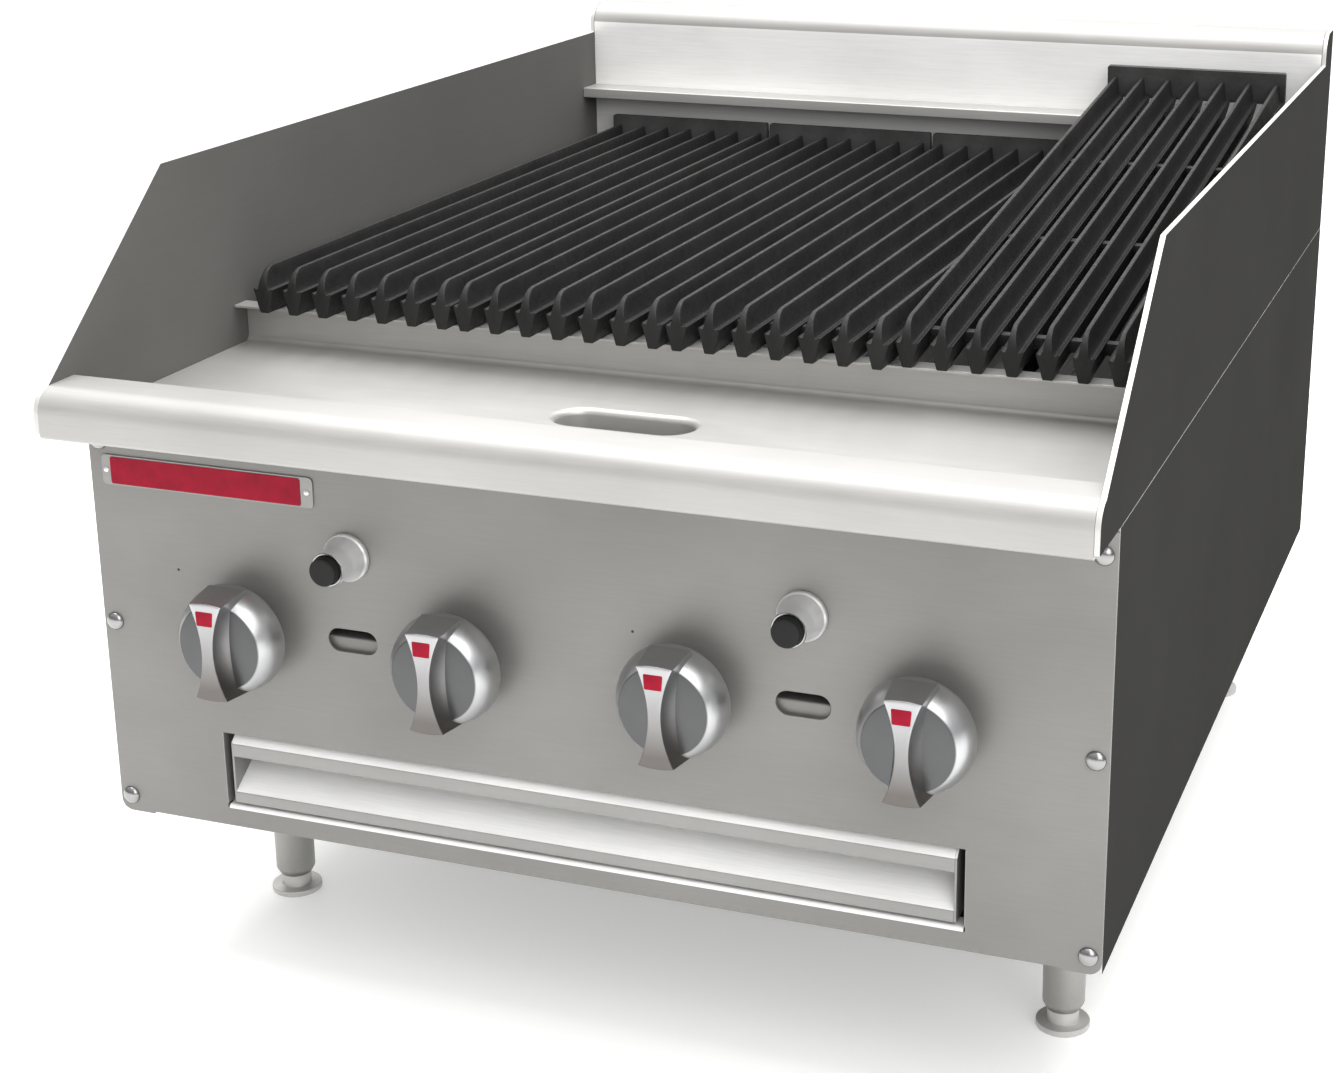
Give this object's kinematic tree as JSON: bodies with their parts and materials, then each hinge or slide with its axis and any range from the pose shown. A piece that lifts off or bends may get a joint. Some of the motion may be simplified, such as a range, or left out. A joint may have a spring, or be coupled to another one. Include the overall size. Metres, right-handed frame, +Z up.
{
  "type": "countertop gas charbroiler",
  "caption": "Countertop gas radiant charbroiler in stainless sheet, with cast grates, control knobs, a drip drawer and short adjustable legs.",
  "frame": {"origin": "on the floor, at the centre of the plan", "axes": "+Z up, the controls face -Y, +X to the right seen from the front"},
  "size_m": [0.61, 0.804, 0.5115],
  "materials": {
    "stainless": "horizontal satin brushing",
    "side_sheet": "darker satin sheet",
    "aluminised_steel": "dull mill finish",
    "cast_iron": "seasoned black casting",
    "knob_metal": "satin",
    "brass": "machined",
    "black_pipe": "black pipe",
    "bright_metal": "polished",
    "black_plastic": "moulded"
  },
  "bodies": {
    "housing": {"front_panel": "stainless", "bullnose_rail": "stainless", "front_deck": "stainless", "front_grate_ledge": "stainless", "upper_grate_rail": "stainless", "back_guard": "stainless", "leg_1": "stainless", "leg_2": "stainless", "leg_3": "stainless", "leg_4": "stainless", "side_panel_left": "side_sheet", "side_panel_right": "side_sheet", "splash_guard_left": "side_sheet", "splash_guard_right": "side_sheet", "rear_panel": "aluminised_steel", "base_pan": "aluminised_steel", "rear_grate_ledge": "aluminised_steel", "radiant_1": "aluminised_steel", "radiant_2": "aluminised_steel", "radiant_3": "aluminised_steel", "radiant_4": "aluminised_steel", "burner_1": "cast_iron", "burner_2": "cast_iron", "burner_3": "cast_iron", "burner_4": "cast_iron", "valve_1": "brass", "valve_2": "brass", "valve_3": "brass", "valve_4": "brass", "gas_inlet": "brass", "gas_manifold": "black_pipe", "supply_pipe": "black_pipe", "igniter_body_1": "bright_metal", "igniter_body_2": "bright_metal", "panel_screw_1": "bright_metal", "panel_screw_2": "bright_metal", "panel_screw_3": "bright_metal", "panel_screw_4": "bright_metal", "panel_screw_5": "bright_metal", "panel_screw_6": "bright_metal"},
    "knob_1_body": {"knob_1": "knob_metal", "valve_stem_1": "brass"},
    "knob_2_body": {"knob_2": "knob_metal", "valve_stem_2": "brass"},
    "knob_3_body": {"knob_3": "knob_metal", "valve_stem_3": "brass"},
    "knob_4_body": {"knob_4": "knob_metal", "valve_stem_4": "brass"},
    "igniter_1_button": {"igniter_button_1": "black_plastic"},
    "igniter_2_button": {"igniter_button_2": "black_plastic"},
    "drip_drawer": {"drawer_front": "stainless", "drip_tray": "aluminised_steel"},
    "grate_1_casting": {"grate_1": "cast_iron"},
    "grate_2_casting": {"grate_2": "cast_iron"},
    "grate_3_casting": {"grate_3": "cast_iron"},
    "grate_4_casting": {"grate_4": "cast_iron"},
    "foot_1_screw": {"foot_1": "stainless"},
    "foot_2_screw": {"foot_2": "stainless"},
    "foot_3_screw": {"foot_3": "stainless"},
    "foot_4_screw": {"foot_4": "stainless"}
  },
  "joints": [
    {"name": "knob_1_turn", "type": "hinge", "parent": "housing", "child": "knob_1_body", "pos_m": [-0.2055, -0.355, 0.236], "axis": [0, -1, 0], "range_deg": [0, 90]},
    {"name": "knob_2_turn", "type": "hinge", "parent": "housing", "child": "knob_2_body", "pos_m": [-0.0685, -0.355, 0.236], "axis": [0, -1, 0], "range_deg": [0, 90]},
    {"name": "knob_3_turn", "type": "hinge", "parent": "housing", "child": "knob_3_body", "pos_m": [0.0685, -0.355, 0.236], "axis": [0, -1, 0], "range_deg": [0, 90]},
    {"name": "knob_4_turn", "type": "hinge", "parent": "housing", "child": "knob_4_body", "pos_m": [0.2055, -0.355, 0.236], "axis": [0, -1, 0], "range_deg": [0, 90]},
    {"name": "igniter_1_press", "type": "slide", "parent": "housing", "child": "igniter_1_button", "axis": [0, 1, 0], "range_m": [0, 0.004], "stiffness_N_per_m": 400},
    {"name": "igniter_2_press", "type": "slide", "parent": "housing", "child": "igniter_2_button", "axis": [0, 1, 0], "range_m": [0, 0.004], "stiffness_N_per_m": 400},
    {"name": "drip_drawer_slide", "type": "slide", "parent": "housing", "child": "drip_drawer", "axis": [0, -1, 0], "range_m": [0, 0.45]},
    {"name": "grate_1_lift", "type": "hinge", "parent": "housing", "child": "grate_1_casting", "pos_m": [-0.20925, 0.3508, 0.3855], "axis": [-1, 0, 0], "range_deg": [0, 15]},
    {"name": "grate_2_lift", "type": "hinge", "parent": "housing", "child": "grate_2_casting", "pos_m": [-0.06975, 0.3508, 0.3855], "axis": [-1, 0, 0], "range_deg": [0, 15]},
    {"name": "grate_3_lift", "type": "hinge", "parent": "housing", "child": "grate_3_casting", "pos_m": [0.06975, 0.3508, 0.3855], "axis": [-1, 0, 0], "range_deg": [0, 15]},
    {"name": "grate_4_lift", "type": "hinge", "parent": "housing", "child": "grate_4_casting", "pos_m": [0.20925, -0.2047, 0.3858], "axis": [1, 0, 0], "range_deg": [0, 25]},
    {"name": "foot_1_adjust", "type": "slide", "parent": "housing", "child": "foot_1_screw", "axis": [0, 0, -1], "range_m": [0, 0.025]},
    {"name": "foot_2_adjust", "type": "slide", "parent": "housing", "child": "foot_2_screw", "axis": [0, 0, -1], "range_m": [0, 0.025]},
    {"name": "foot_3_adjust", "type": "slide", "parent": "housing", "child": "foot_3_screw", "axis": [0, 0, -1], "range_m": [0, 0.025]},
    {"name": "foot_4_adjust", "type": "slide", "parent": "housing", "child": "foot_4_screw", "axis": [0, 0, -1], "range_m": [0, 0.025]}
  ]
}
